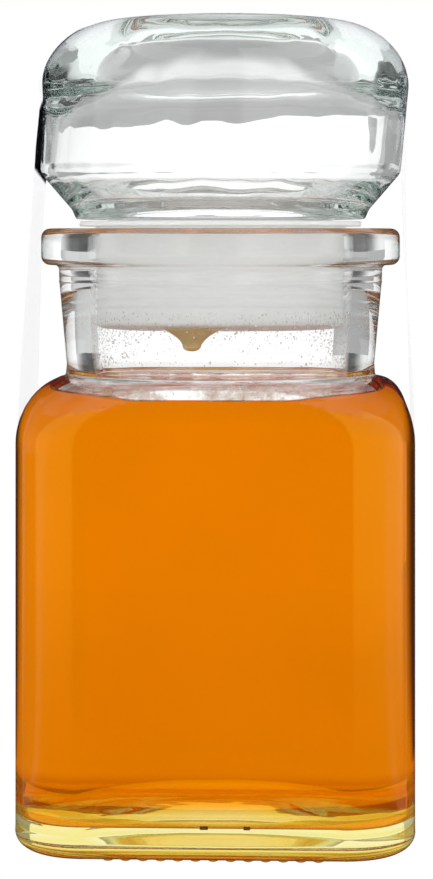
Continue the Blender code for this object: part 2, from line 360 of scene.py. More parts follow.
def make_piece(name, bm, node, material, sharp=None):
    """Smooth-shaded mesh piece that rides on the body and stands for a node of the frame."""
    bmesh.ops.recalc_face_normals(bm, faces=bm.faces)
    mesh = bpy.data.meshes.new(name)
    bm.to_mesh(mesh)
    bm.free()
    for polygon in mesh.polygons:
        polygon.use_smooth = True
    if sharp is not None:
        mesh.set_sharp_from_angle(angle=math.radians(sharp))
    piece = bpy.data.objects.new(name, mesh)
    bpy.context.scene.collection.objects.link(piece)
    piece.data.materials.append(material)
    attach(piece, BODY)
    if node is not None:
        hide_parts(node)
    return piece


def bake_boolean(piece, cutter_bm, operation):
    """Joins a helper mesh to a piece or cuts it out, and keeps only the result."""
    mesh = bpy.data.meshes.new("helper")
    bmesh.ops.recalc_face_normals(cutter_bm, faces=cutter_bm.faces)
    cutter_bm.to_mesh(mesh)
    cutter_bm.free()
    for polygon in mesh.polygons:
        polygon.use_smooth = True
    helper = bpy.data.objects.new("helper", mesh)
    bpy.context.scene.collection.objects.link(helper)
    modifier = piece.modifiers.new("join", "BOOLEAN")
    modifier.operation = operation
    modifier.solver = "EXACT"
    modifier.object = helper
    graph = bpy.context.evaluated_depsgraph_get()
    joined = bpy.data.meshes.new_from_object(piece.evaluated_get(graph))
    piece.modifiers.clear()
    piece.data = joined
    bpy.data.objects.remove(helper, do_unlink=True)


# Materials
def link(tree, source, target):
    tree.links.new(source, target)


def calculate(tree, operation, *values):
    """Result of a Math node on sockets or plain numbers."""
    node = tree.nodes.new("ShaderNodeMath")
    node.operation = operation
    for index, value in enumerate(values):
        if isinstance(value, (int, float)):
            node.inputs[index].default_value = value
        else:
            link(tree, value, node.inputs[index])
    return node.outputs["Value"]


def spread(tree, value, start, stop, first=0.0, last=1.0, interpolation="SMOOTHSTEP"):
    """Turns a value between start and stop into one between first and last, held at both ends."""
    node = tree.nodes.new("ShaderNodeMapRange")
    node.interpolation_type = interpolation
    limits = (("From Min", start), ("From Max", stop), ("To Min", first), ("To Max", last))
    for name, number in limits:
        node.inputs[name].default_value = number
    link(tree, value, node.inputs["Value"])
    return node.outputs["Result"]


def choose(tree, factor, otherwise, chosen):
    """The chosen value where the factor is 1, else the other; each is a socket or a plain number."""
    mix = tree.nodes.new("ShaderNodeMix")
    mix.data_type = "FLOAT"
    link(tree, factor, mix.inputs["Factor"])
    for socket, value in ((mix.inputs[2], otherwise), (mix.inputs[3], chosen)):
        if isinstance(value, float):
            socket.default_value = value
        else:
            link(tree, value, socket)
    return mix.outputs[0]


def mix_surfaces(tree, output, factor, otherwise, chosen):
    """Gives the surface the chosen shader where the factor is 1, else the other."""
    either = tree.nodes.new("ShaderNodeMixShader")
    link(tree, factor, either.inputs["Fac"])
    link(tree, otherwise, either.inputs[1])
    link(tree, chosen, either.inputs[2])
    link(tree, either.outputs["Shader"], output.inputs["Surface"])


def start_material(name):
    material = bpy.data.materials.new(name)
    material.use_nodes = True
    tree = material.node_tree
    shader = tree.nodes["Principled BSDF"]
    output = tree.nodes["Material Output"]
    return material, tree, shader, output


def object_coordinates(tree):
    return tree.nodes.new("ShaderNodeTexCoord").outputs["Object"]


def separate(tree, coordinates):
    """X, Y and Z of coordinates, as sockets by name."""
    node = tree.nodes.new("ShaderNodeSeparateXYZ")
    link(tree, coordinates, node.inputs["Vector"])
    return node.outputs


def ripple(tree, shader, scale, strength, distance, stretch=(1.0, 1.0, 1.0)):
    """Slight unevenness of a moulded surface, as a bump from soft noise."""
    mapping = tree.nodes.new("ShaderNodeMapping")
    mapping.inputs["Scale"].default_value = stretch
    link(tree, object_coordinates(tree), mapping.inputs["Vector"])
    texture = tree.nodes.new("ShaderNodeTexNoise")
    texture.inputs["Scale"].default_value = scale
    texture.inputs["Detail"].default_value = 2.0
    link(tree, mapping.outputs["Vector"], texture.inputs["Vector"])
    bump = tree.nodes.new("ShaderNodeBump")
    bump.inputs["Strength"].default_value = strength
    bump.inputs["Distance"].default_value = distance
    link(tree, texture.outputs["Fac"], bump.inputs["Height"])
    link(tree, bump.outputs["Normal"], shader.inputs["Normal"])
    return texture


def tint_by_noise(tree, texture, shader, low, high):
    """Base colour that wanders a little between two colours."""
    ramp = tree.nodes.new("ShaderNodeValToRGB")
    ramp.color_ramp.elements[0].position = 0.35
    ramp.color_ramp.elements[0].color = (*low, 1.0)
    ramp.color_ramp.elements[1].position = 0.65
    ramp.color_ramp.elements[1].color = (*high, 1.0)
    link(tree, texture.outputs["Fac"], ramp.inputs["Fac"])
    link(tree, ramp.outputs["Color"], shader.inputs["Base Color"])


def absorb(tree, output, loss):
    """Volume absorption from the loss per metre in red, green and blue."""
    density = max(loss) * 1.02
    volume = tree.nodes.new("ShaderNodeVolumeAbsorption")
    volume.inputs["Color"].default_value = (*[1 - part / density for part in loss], 1.0)
    volume.inputs["Density"].default_value = density
    link(tree, volume.outputs["Volume"], output.inputs["Volume"])


def clear_solid(name, ior, loss, bump, tints, gleam=(1.0, 1.0, 1.0)):
    """Clear glass-like solid that colours light by its depth; gleam tints its head-on reflection."""
    material, tree, shader, output = start_material(name)
    shader.inputs["Specular Tint"].default_value = (*gleam, 1.0)
    shader.inputs["Transmission Weight"].default_value = 1.0
    shader.inputs["Roughness"].default_value = 0.0
    shader.inputs["IOR"].default_value = ior
    texture = ripple(tree, shader, *bump)
    tint_by_noise(tree, texture, shader, *tints)
    absorb(tree, output, loss)
    return material


def store_gleam(piece, gleam_at):
    """Stores the tint of each face's head-on reflection, from its centre (in millimetres) and normal."""
    layer = piece.data.attributes.new("gleam", "FLOAT_COLOR", "FACE")
    for polygon in piece.data.polygons:
        layer.data[polygon.index].color = (*gleam_at(polygon.center / MM, polygon.normal), 1.0)


def read_gleam(material):
    """Lets a material take the tint of its head-on reflection from the stored one."""
    tree = material.node_tree
    stored = tree.nodes.new("ShaderNodeAttribute")
    stored.attribute_name = "gleam"
    link(tree, stored.outputs["Color"], tree.nodes["Principled BSDF"].inputs["Specular Tint"])


def paint_heel_glow(material):
    """Paints the honey's glow into the colour of the jar's foot, as painted light: deep amber at the bottom,
    pale above, then clear.
    """
    tree = material.node_tree
    shader = tree.nodes["Principled BSDF"]
    plain = shader.inputs["Base Color"].links[0].from_socket
    height = separate(tree, object_coordinates(tree))["Z"]
    height = spread(tree, height, 0.0, HEEL_GLOW_TOP * MM, interpolation="LINEAR")
    ramp = tree.nodes.new("ShaderNodeValToRGB")
    stops = ramp.color_ramp.elements
    for stop, (level, colour) in ((stops[0], HEEL_PAINTED_GLOW[0]), (stops[1], HEEL_PAINTED_GLOW[-1])):
        stop.position = level / HEEL_GLOW_TOP
        stop.color = (*colour, 1.0)
    for level, colour in HEEL_PAINTED_GLOW[1:-1]:
        stops.new(level / HEEL_GLOW_TOP).color = (*colour, 1.0)
    link(tree, height, ramp.inputs["Fac"])
    # Painted light: the glass's own colour is multiplied by the painted glow ramp.
    mix = tree.nodes.new("ShaderNodeMix")
    mix.data_type = "RGBA"
    mix.blend_type = "MULTIPLY"
    mix.inputs["Factor"].default_value = 1.0
    link(tree, plain, mix.inputs[6])
    link(tree, ramp.outputs["Color"], mix.inputs[7])
    link(tree, mix.outputs[2], shader.inputs["Base Color"])


def outwardness(centre, normal):
    """How far a face looks away from the jar's axis, from -1 to 1."""
    return Vector((normal.x, normal.y)).dot(Vector((centre.x, centre.y)).normalized())


def milky_plastic():
    material, tree, shader, _ = start_material("milky_plastic")
    shader.inputs["Transmission Weight"].default_value = 0.45
    shader.inputs["Roughness"].default_value = 0.45
    shader.inputs["IOR"].default_value = 1.4
    texture = ripple(tree, shader, 900.0, 0.15, 0.0002, (1.0, 1.0, 3.0))
    tint_by_noise(tree, texture, shader, (0.93, 0.935, 0.92), (0.97, 0.97, 0.96))
    return material


def film_material():
    """Clear film with a faint cast and a plain dark printed field; only what the camera sees meets it."""
    material, tree, shader, output = start_material("clear_film")
    shader.inputs["Roughness"].default_value = 0.3
    shader.inputs["Specular IOR Level"].default_value = 0.0
    ripple(tree, shader, 120.0, 0.25, 0.0004, (1.0, 1.0, 0.25))
    place = separate(tree, object_coordinates(tree))

    def between(value, low, high, soft):
        """1 between two places in millimetres and 0 outside, with soft edges."""
        rise = spread(tree, value, (low - soft) * MM, (low + soft) * MM)
        fall = spread(tree, value, (high + soft) * MM, (high - soft) * MM)
        return calculate(tree, "MULTIPLY", rise, fall)

    bands = []
    for slope, low, high in PRINT_BANDS:
        slanted_height = calculate(tree, "MULTIPLY_ADD", place["Y"], -slope, place["Z"])
        bands.append(between(slanted_height, low, high, PRINT_BAND_EDGE))
    lens = calculate(tree, "MULTIPLY", *bands)
    streak = calculate(
        tree,
        "MULTIPLY",
        between(place["Z"], *STREAK_HEIGHTS, STREAK_EDGE),
        between(place["Y"], -STREAK_HALF, STREAK_HALF, STREAK_EDGE),
    )
    at_left = between(place["X"], -40.0, 0.0, 0.2)
    print_field = calculate(tree, "MULTIPLY", calculate(tree, "MAXIMUM", lens, streak), at_left)
    colour = tree.nodes.new("ShaderNodeMix")
    colour.data_type = "RGBA"
    colour.inputs[6].default_value = (*FILM_COLOUR, 1.0)
    colour.inputs[7].default_value = (*PRINT_COLOUR, 1.0)
    link(tree, print_field, colour.inputs["Factor"])
    link(tree, colour.outputs[2], shader.inputs["Base Color"])
    cover = spread(tree, print_field, 0.0, 1.0, FILM_COVER, 1.0, "LINEAR")
    link(tree, cover, shader.inputs["Alpha"])
    seen = tree.nodes.new("ShaderNodeLightPath").outputs["Is Camera Ray"]
    gone = tree.nodes.new("ShaderNodeBsdfTransparent")
    mix_surfaces(tree, output, seen, gone.outputs["BSDF"], shader.outputs["BSDF"])
    return material


# Jar glass
def shoulder_shapes(half_width, corner_radius, neck_radius, start, rise, first, last, steps, grow=0.0):
    """Sections that lead the square wall over into the round neck, along a quarter of an ellipse."""
    shapes = []
    for step in range(steps + 1):
        angle = math.radians(first + (last - first) * step / steps)
        width = neck_radius + (half_width - neck_radius) * math.cos(angle) + grow
        straight = (half_width - corner_radius) * math.cos(angle)
        shapes.append((width, width - straight, start + rise * math.sin(angle)))
    return shapes


def wall_shapes(half_width, corner_radius, low, high, steps):
    """Sections up an upright square wall, closer together near both ends."""
    shapes = []
    for step in range(1, steps):
        share = 0.5 - 0.5 * math.cos(math.pi * step / steps)
        shapes.append((half_width, corner_radius, low + (high - low) * share))
    return shapes


def outer_shapes():
    """Outside of the jar, from the middle of the pushed-up base to the rim of the flange."""
    shapes = []
    for share in (0.1, 0.25, 0.4, 0.55, 0.7, 0.82, 0.92, 0.98, 1.0):
        shapes.append((PUNT_RADIUS * share, PUNT_RADIUS * share, UNDERSIDE + PUNT_HEIGHT * (1 - share**2)))
    bearing = HALF_WIDTH - HEEL_INSET
    straight = HALF_WIDTH - CORNER_RADIUS
    steps = 16
    for step in range(steps + 1):
        angle = math.pi / 2 * step / steps
        width = bearing + HEEL_INSET * math.sin(angle)
        height = UNDERSIDE + HEEL_HEIGHT * (1 - math.cos(angle))
        ridge = SEAM_RIDGE * math.exp(-(((height - SEAM_HEIGHT) / 0.25) ** 2))
        shapes.append((width + ridge, width + ridge - straight, height))
    shapes += wall_shapes(HALF_WIDTH, CORNER_RADIUS, shapes[-1][2], SHOULDER_START, 12)
    shapes += shoulder_shapes(
        HALF_WIDTH, CORNER_RADIUS, NECK_FOOT_RADIUS + 0.2, SHOULDER_START, SHOULDER_RISE, 0, 80, 20
    )
    neck = rounded(
        [
            (shapes[-1][0], shapes[-1][2]),
            (NECK_FOOT_RADIUS + 0.15, NECK_FOOT - 1.2, 0.6),
            (NECK_FOOT_RADIUS, NECK_FOOT + 0.6),
            (NECK_TOP_RADIUS - 0.1, PARTING_LINE - 0.15),
            (NECK_TOP_RADIUS - 0.02, PARTING_LINE),
            (NECK_TOP_RADIUS - 0.08, PARTING_LINE + 0.15),
            (NECK_TOP_RADIUS, FLANGE_BOTTOM, 0.7),
            (FLANGE_RADIUS, FLANGE_BOTTOM, FLANGE_EDGE),
            (FLANGE_RADIUS, FLANGE_TOP, FLANGE_EDGE),
            (FLANGE_RADIUS - 3.0, FLANGE_TOP),
        ]
    )
    return shapes + round_shapes(neck[1:])


def floor_shapes(grow):
    """Inside of the base, from the wall round a fillet to the middle of its domed floor, sunk a little."""
    straight = INNER_HALF - INNER_CORNER
    low = FLOOR_EDGE - grow
    shapes = []
    for radius, height in arc((-FLOOR_FILLET, FLOOR_FILLET), (FLOOR_FILLET, FLOOR_FILLET), 0, -88, 9):
        width = INNER_HALF + grow + radius
        shapes.append((width, width - straight, low + height))
    for share in (1.0, 0.97, 0.93, 0.88, 0.82, 0.75, 0.66, 0.54, 0.38, 0.2, 0.06):
        width = DOME_RADIUS * share
        shapes.append((width, width, low + FLOOR_RISE * (1 - share**DOME_POWER)))
    return shapes


def inner_shapes(grow=0.0, last_angle=80):
    """Inside of the jar from the foot of the neck down to the middle of the floor."""
    shapes = shoulder_shapes(
        INNER_HALF,
        INNER_CORNER,
        BORE_FOOT_RADIUS + 0.6,
        INNER_SHOULDER_START,
        INNER_SHOULDER_RISE,
        last_angle,
        0,
        18,
        grow,
    )
    wall_foot = FLOOR_EDGE + FLOOR_FILLET
    shapes += wall_shapes(INNER_HALF + grow, INNER_CORNER + grow, INNER_SHOULDER_START, wall_foot, 12)
    return shapes + floor_shapes(grow)


def inner_shoulder_angle(height):
    """Angle in degrees at which the inner shoulder reaches a height."""
    return math.degrees(math.asin((height - INNER_SHOULDER_START) / INNER_SHOULDER_RISE))


def bump_places():
    """Places (x, y) of the bumps on a rounded square, a straight row on each side and two at each corner."""
    row = [BUMP_PITCH * step for step in range(-BUMPS_BESIDE_MIDDLE, BUMPS_BESIDE_MIDDLE + 1)]
    places = []
    for side in range(4):
        turn = Matrix.Rotation(math.radians(90 * side), 2)
        places += [turn @ Vector((offset, -BUMP_RING)) for offset in row]
        corner = Vector((BUMP_RING - BUMP_RING_CORNER, BUMP_RING_CORNER - BUMP_RING))
        for degrees in BUMP_CORNER_ANGLES:
            angle = math.radians(degrees - 90)
            places.append(turn @ (corner + BUMP_RING_CORNER * Vector((math.cos(angle), math.sin(angle)))))
    return places


def make_jar(material):
    bore = rounded(
        [
            (BORE_TOP_RADIUS + 3.0, FLANGE_TOP),
            (BORE_TOP_RADIUS, FLANGE_TOP, 0.7),
            (BORE_TOP_RADIUS, FLANGE_BOTTOM, 2.0),
            (BORE_FOOT_RADIUS, NECK_FOOT - 1.9, 0.8),
            (BORE_FOOT_RADIUS + 2.0, NECK_FOOT - 3.0),
        ]
    )
    shapes = outer_shapes() + round_shapes(bore[1:-1]) + inner_shapes()
    bm = bmesh.new()
    add_skin(bm, [section(*shape) for shape in shapes])
    jar = make_piece("jar_glass", bm, "jar", material)
    bumps = bmesh.new()
    for place in bump_places():
        middle = Matrix.Translation(Vector((place.x, place.y, UNDERSIDE + 0.1)) * MM)
        size = Matrix.Diagonal((BUMP_RADIUS, BUMP_RADIUS, UNDERSIDE + 0.1, 1 / MM)) * MM
        bmesh.ops.create_uvsphere(bumps, u_segments=14, v_segments=8, radius=1.0, matrix=middle @ size)
    bake_boolean(jar, bumps, "UNION")
    jar.data.set_sharp_from_angle(angle=math.radians(38))

    def gleam_at(centre, normal):
        """None where the honey wets the glass, amber on the outside of the honey, white elsewhere."""
        outward = outwardness(centre, normal)
        if outward < -0.5 and FLOOR_EDGE - 0.5 < centre.z < HONEY_LEVEL + 0.3:
            return 0.0, 0.0, 0.0
        if outward > 0.15 and FLOOR_EDGE + FLOOR_RISE < centre.z < HONEY_LEVEL:
            return AMBER_GLEAM
        return 1.0, 1.0, 1.0

    store_gleam(jar, gleam_at)
    return jar


# Honey
def make_honey(material):
    """Filling that reaches just into the glass all round, with a low meniscus at its rim."""
    wall = inner_shapes(WALL_OVERLAP, inner_shoulder_angle(HONEY_LEVEL + MENISCUS_HEIGHT))
    rim = wall[0]
    surface = []
    for step in range(10, 0, -1):
        share = step / 10
        inset = MENISCUS_WIDTH * share
        height = HONEY_LEVEL + MENISCUS_HEIGHT * (1 - share) ** 2.2
        surface.append((rim[0] - inset, rim[1] - inset, height))
    middle = [(rim[0] * share, rim[1] * share, HONEY_LEVEL) for share in (0.15, 0.4, 0.6, 0.8)]
    bm = bmesh.new()
    add_skin(bm, [section(*shape) for shape in middle + surface + wall])
    honey = make_piece("honey_fill", bm, "honey", material)

    def gleam_at(_, normal):
        """None on the sides, where glass wets it, and white on its level top and on its floor."""
        return (0.0, 0.0, 0.0) if abs(normal.z) < 0.7 else (1.0, 1.0, 1.0)

    store_gleam(honey, gleam_at)
    return honey


# Stopper
def make_stopper(material):
    inner = SKIRT_RADIUS - SKIRT_WALL
    corners = [(0.5, STOPPER_BOTTOM + STOPPER_FLOOR), (inner, STOPPER_BOTTOM + STOPPER_FLOOR, 0.5)]
    corners += [(inner, DISC_TOP, 0.3), (DISC_RADIUS, DISC_TOP, 0.25), (DISC_RADIUS, DISC_BOTTOM, 0.25)]
    corners += [(SKIRT_RADIUS, DISC_BOTTOM, 0.4)]
    for rib in reversed(range(RIB_COUNT)):
        middle = LOWEST_RIB + RIB_PITCH * rib
        corners += [(SKIRT_RADIUS, middle + 0.45, 0.1), (SKIRT_RADIUS + RIB_DEPTH, middle, 0.15)]
        corners += [(SKIRT_RADIUS, middle - 0.45, 0.1)]
    corners += [(SKIRT_RADIUS, STOPPER_BOTTOM, 0.6), (0.5, STOPPER_BOTTOM)]
    bm = bmesh.new()
    add_skin(bm, [circle(*point) for point in rounded(corners, 4)])
    stopper = make_piece("stopper_plastic", bm, "stopper", material)
    slot = bmesh.new()
    bearing = Matrix.Rotation(math.radians(SLOT_BEARING), 4, "Z")
    place = Matrix.Translation(Vector((SKIRT_RADIUS, 0.0, SLOT_MIDDLE)) * MM)
    size = Matrix.Diagonal((3 * SKIRT_WALL, SLOT_WIDTH, SLOT_HEIGHT, 1 / MM)) * MM
    bmesh.ops.create_cube(slot, size=1.0, matrix=bearing @ place @ size)
    bmesh.ops.bevel(
        slot, geom=list(slot.edges), offset=0.5 * MM, segments=3, profile=0.5, affect="EDGES"
    )
    bake_boolean(stopper, slot, "DIFFERENCE")
    stopper.data.set_sharp_from_angle(angle=math.radians(50))
    return stopper


# Lid
def lid_lean(height):
    """How far the bubble of the lid has sagged to the right at a height."""
    return LID_LEAN * smooth_share(height, LID_CORNER[1], LID_WIDEST)


def lid_dome(grow=0.0, steps=24):
    """Outside of the lid from its flat top round to its widest place, grown by a distance."""
    centre = (LID_RADIUS - LID_ROUNDING, LID_WIDEST)
    radii = (LID_ROUNDING + grow, LID_TOP - LID_WIDEST + grow)
    return arc(centre, radii, 90, 0, steps)


def cavity_profile():
    """Inside of the lid from the mouth of the stem over its floor, up the wall and on to its ceiling."""
    lower = rounded(
        [
            (STEM_BORE, LID_BOTTOM),
            (STEM_BORE, LID_CAVITY_FLOOR, 1.5),
            (LID_CAVITY_FOOT, LID_CAVITY_FLOOR, 2.0),
            (LID_CAVITY_RADIUS, LID_CAVITY_CORNER, 3.0),
            (LID_CAVITY_RADIUS, LID_CAVITY_BEND),
        ]
    )
    rounding = LID_CAVITY_ROUNDING
    centre = (LID_CAVITY_RADIUS - rounding, LID_CAVITY_BEND)
    upper = arc(centre, (rounding, LID_CEILING - LID_CAVITY_BEND), 0, 90, 24)
    return lower[1:] + upper[1:] + [(8.0, LID_CEILING + 0.1), (0.4, LID_CEILING + 0.2)]


def wavy(spot, amount, pitch):
    """Moves a point outward or inward a little, from smooth noise."""
    shift = noise.noise(spot / (pitch * MM)) * amount * MM
    outward = Vector((spot.x, spot.y, 0.0))
    return spot + outward.normalized() * shift


def make_lid(material):
    corner_radius, corner_height = LID_CORNER
    outside = [(0.4, LID_TOP - LID_DISH), (6.0, LID_TOP - LID_DISH), (12.0, LID_TOP - LID_DISH / 2)]
    outside += [(15.0, LID_TOP - 0.05)] + lid_dome()
    lower = rounded(
        [
            (LID_RADIUS, LID_WIDEST),
            (corner_radius, corner_height - 0.9, 2.0),
            (LID_FOOT_RADIUS + 0.2, LID_BOTTOM + 1.4, 1.5),
            (LID_FOOT_RADIUS - 0.4, LID_BOTTOM, 0.5),
            (STEM_RADIUS, LID_BOTTOM, 0.5),
            (STEM_RADIUS, STEM_BOTTOM, 0.8),
            (STEM_BORE, STEM_BOTTOM, 0.8),
            (STEM_BORE, LID_BOTTOM),
        ]
    )
    inside = cavity_profile()
    rings = [circle(*point) for point in outside + lower[1:-1]]
    rings += [[wavy(spot, 0.1, 3.5) for spot in circle(*point)] for point in inside]
    for ring in rings:
        lean = lid_lean(ring[0].z / MM) * MM
        for spot in ring:
            spot.x += lean
    bm = bmesh.new()
    add_skin(bm, rings)
    return make_piece("lid_glass", bm, "lid", material, 40)


# Film
def hang(start, corners, end):
    """Line (x, height) of the film from the side of the lid down past corners and along the jar's wall."""
    line = []
    stops = [start] + corners + [(corners[-1][0], end)]
    for upper, lower in zip(stops, stops[1:]):
        for step in range(1, 7):
            share = step / 6
            line.append((upper[0] + (lower[0] - upper[0]) * share, upper[1] + (lower[1] - upper[1]) * share))
    return line


def film_row(y):
    """One line along the film strip, from its left end over the lid to its right end, at a depth y."""
    dome = []
    for radius, height in lid_dome(FILM_STAND_OFF, 24):
        hug = smooth_share(height, FILM_LEAVES_LID, FILM_LIES_ON_LID)
        dome.append((math.sqrt(max(radius**2 - hug * y**2, FILM_FLAT_HALF**2)), height))
    left = [(lid_lean(height) - radius, height) for radius, height in dome]
    left += hang(left[-1], FILM_LEFT_HANG, FILM_LEFT_END)
    right = [(lid_lean(height) + radius, height) for radius, height in dome]
    right += hang(right[-1], FILM_RIGHT_HANG, FILM_RIGHT_END)
    across = (FILM_BACK - y) / (FILM_BACK - FILM_FRONT)
    row = []
    for x, height in list(reversed(left)) + right:
        turn = FILM_TWIST * across * smooth_share(height, 62.0, 92.0)
        turn *= smooth_share(-height, -114.0, -106.0)
        row.append(Vector((x - math.copysign(turn, x), y, height)) * MM)
    return row


def make_film(material):
    bm = bmesh.new()
    rows = []
    columns = 20
    for column in range(columns + 1):
        y = FILM_FRONT + (FILM_BACK - FILM_FRONT) * column / columns
        rows.append([bm.verts.new(spot) for spot in film_row(y)])
    for front, back in zip(rows, rows[1:]):
        for step in range(len(front) - 1):
            bm.faces.new((front[step], front[step + 1], back[step + 1], back[step]))
    film = make_piece("film_sleeve", bm, "film_strip", material)
    solidify = film.modifiers.new("thickness", "SOLIDIFY")
    solidify.thickness = FILM_THICKNESS * MM
    solidify.offset = 0.0
    return film


# Small things
def make_drip(material):
    """Drop of honey that hangs from the stopper, with flanks that curve in and a round tip."""
    top = STOPPER_BOTTOM + 0.05
    tip = top - DRIP_LENGTH + DRIP_TIP_HEIGHT
    profile = [(0.3, top), (DRIP_RADIUS, top)]
    for step in range(1, 9):
        share = step / 8
        flank = DRIP_RADIUS + (DRIP_TIP_RADIUS - DRIP_RADIUS) * share
        height = top - (DRIP_LENGTH - DRIP_TIP_HEIGHT) * share
        profile.append((flank - 0.35 * math.sin(math.pi * share), height))
    profile += arc((0.0, tip), (DRIP_TIP_RADIUS, DRIP_TIP_HEIGHT), 0, -80, 6)[1:]
    bm = bmesh.new()
    add_skin(bm, [[wavy(spot, 0.3, 3.0) for spot in circle(*point, 48)] for point in profile])
    bmesh.ops.translate(bm, vec=Vector((*DRIP_PLACE, 0.0)) * MM, verts=bm.verts)
    return make_piece("honey_drop", bm, "honey_drip", material)


def dark_amber(name, colour, cover):
    """Thin stain of honey seen edge-on, mottled a little."""
    material, tree, shader, _ = start_material(name)
    shader.inputs["Roughness"].default_value = 0.35
    shader.inputs["Alpha"].default_value = cover
    texture = ripple(tree, shader, 300.0, 0.2, 0.0002)
    tint_by_noise(tree, texture, shader, colour, [min(part * 1.5, 1.0) for part in colour])
    return material


def make_marks(material):
    """Two short dark marks inside the front wall, low down."""
    bm = bmesh.new()
    for x, width in zip(MARK_PLACES, MARK_WIDTHS):
        place = Matrix.Translation(Vector((x, MARK_DEPTH, MARK_HEIGHT)) * MM)
        size = Matrix.Diagonal((width, 0.3, 0.5, 1 / MM)) * MM
        bmesh.ops.create_cube(bm, size=1.0, matrix=place @ size)
    bmesh.ops.bevel(bm, geom=list(bm.edges), offset=0.12 * MM, segments=3, profile=0.5, affect="EDGES")
    return make_piece("mould_marks", bm, None, material)


def make_flange_line(material):
    """Thin ring of honey just under the top of the flange."""
    bm = bmesh.new()
    profile = arc((FLANGE_RADIUS - 1.25, FLANGE_TOP - 0.62), (0.85, 0.34), 0, 337.5, 15)
    add_bands(bm, [circle(*point) for point in profile], closed=True)
    return make_piece("flange_line", bm, None, material)


def bore_radius(height):
    """Radius of the neck's inside at a height."""
    share = (height - NECK_FOOT) / (FLANGE_BOTTOM - NECK_FOOT)
    return BORE_FOOT_RADIUS + (BORE_TOP_RADIUS - BORE_FOOT_RADIUS) * min(max(share, 0.0), 1.0)


def make_condensation(material):
    """Fine droplets on the inside of the neck, thick at its sides and under the stopper."""
    draw = random.Random(7)
    ball = bmesh.new()
    bmesh.ops.create_icosphere(ball, subdivisions=1, radius=1.0)
    spots = [vert.co.copy() for vert in ball.verts]
    faces = [[vert.index for vert in face.verts] for face in ball.faces]
    ball.free()
    all_spots, all_faces = [], []
    while len(all_faces) < DROPLETS * len(faces):
        angle = draw.uniform(0, math.tau)
        height = draw.uniform(NECK_FOOT - 0.5, DROPLET_HIGHEST)
        share = smooth_share(height, NECK_FOOT + 1.5, STOPPER_BOTTOM + 0.8)
        across = abs(math.cos(angle))
        if draw.random() > 0.05 + 0.35 * share**2 + 0.6 * across**4:
            continue
        size = DROPLET_SMALLEST + DROPLET_SPREAD * draw.random() ** 3
        turn = Matrix.Rotation(angle, 3, "Z")
        shape = Vector((size * 0.55, size, size * draw.uniform(1.0, 1.5)))
        middle = turn @ Vector((bore_radius(height), 0.0, 0.0)) + Vector((0.0, 0.0, height))
        first = len(all_spots)
        all_spots += [(middle + turn @ (spot * shape)) * MM for spot in spots]
        all_faces += [[first + index for index in face] for face in faces]
    mesh = bpy.data.meshes.new("droplets")
    mesh.from_pydata(all_spots, [], all_faces)
    bm = bmesh.new()
    bm.from_mesh(mesh)
    bpy.data.meshes.remove(mesh)
    return make_piece("condensation", bm, None, material)


def foam_material():
    """Whitish rose froth of fine bubbles with gaps through which the honey shows."""
    material, tree, shader, _ = start_material("froth")
    shader.inputs["Roughness"].default_value = 0.5
    texture = ripple(tree, shader, 700.0, 0.5, 0.0003)
    tint_by_noise(tree, texture, shader, (0.55, 0.30, 0.16), (0.80, 0.68, 0.60))
    patches = tree.nodes.new("ShaderNodeTexNoise")
    patches.inputs["Scale"].default_value = 160.0
    patches.inputs["Detail"].default_value = 6.0
    patches.inputs["Roughness"].default_value = 0.75
    link(tree, object_coordinates(tree), patches.inputs["Vector"])
    cover = spread(tree, patches.outputs["Fac"], 0.42, 0.62, 0.0, 0.7, "LINEAR")
    link(tree, cover, shader.inputs["Alpha"])
    return material


def make_froth(material):
    """Thin ring of froth on the glass just above the honey and a little way out on its surface."""
    first = inner_shoulder_angle(HONEY_LEVEL + 0.3)
    last = inner_shoulder_angle(HONEY_LEVEL + FROTH_HEIGHT)
    foot = BORE_FOOT_RADIUS + 0.6
    shoulder = (INNER_HALF, INNER_CORNER, foot, INNER_SHOULDER_START, INNER_SHOULDER_RISE)
    outer = shoulder_shapes(*shoulder, first, last, 6, -0.05)
    inner = shoulder_shapes(*shoulder, last, first, 6, -0.15)
    bm = bmesh.new()
    add_bands(bm, [section(*shape) for shape in outer + inner], closed=True)
    return make_piece("froth", bm, None, material)


# Studio
def make_world():
    """Room round the jar, with a brightness of its own for light through glass, mirrors and matt things."""
    world = bpy.data.worlds.new("studio")
    bpy.context.scene.world = world
    world.use_nodes = True
    tree = world.node_tree
    background = tree.nodes["Background"]
    place = separate(tree, tree.nodes.new("ShaderNodeTexCoord").outputs["Generated"])
    bearing = calculate(tree, "ARCTAN2", place["X"], place["Y"])
    bearing = calculate(tree, "MULTIPLY", bearing, 180 / math.pi)
    elevation = calculate(tree, "ARCSINE", place["Z"])
    elevation = calculate(tree, "MULTIPLY", elevation, 180 / math.pi)

    def window(value, low, high, soft):
        """1 between two angles and 0 outside, with soft edges."""
        rise = spread(tree, value, low - soft, low + soft)
        fall = spread(tree, value, high - soft, high + soft)
        return calculate(tree, "SUBTRACT", rise, fall)

    def room(level, parts):
        """Brightness of a room with brighter parts in it."""
        total = level
        for west, east, low, high, soft, bright in parts:
            across = window(bearing, west, east, soft)
            upright = window(elevation, low, high, soft)
            patch = calculate(tree, "MULTIPLY", across, upright)
            total = calculate(tree, "ADD", calculate(tree, "MULTIPLY", patch, bright), total)
        return total

    seen = tree.nodes.new("ShaderNodeLightPath").outputs
    through_glass = room(ROOM_THROUGH_GLASS, BACKLIGHT)
    mirrored = room(ROOM_MIRRORED, SOFTBOXES)
    strength = choose(tree, seen["Is Transmission Ray"], mirrored, through_glass)
    strength = choose(tree, seen["Diffuse Depth"], strength, DIFFUSE_LEVEL)
    strength = choose(tree, seen["Is Camera Ray"], strength, 1.0)
    link(tree, strength, background.inputs["Strength"])
    background.inputs["Color"].default_value = (1.0, 1.0, 1.0, 1.0)


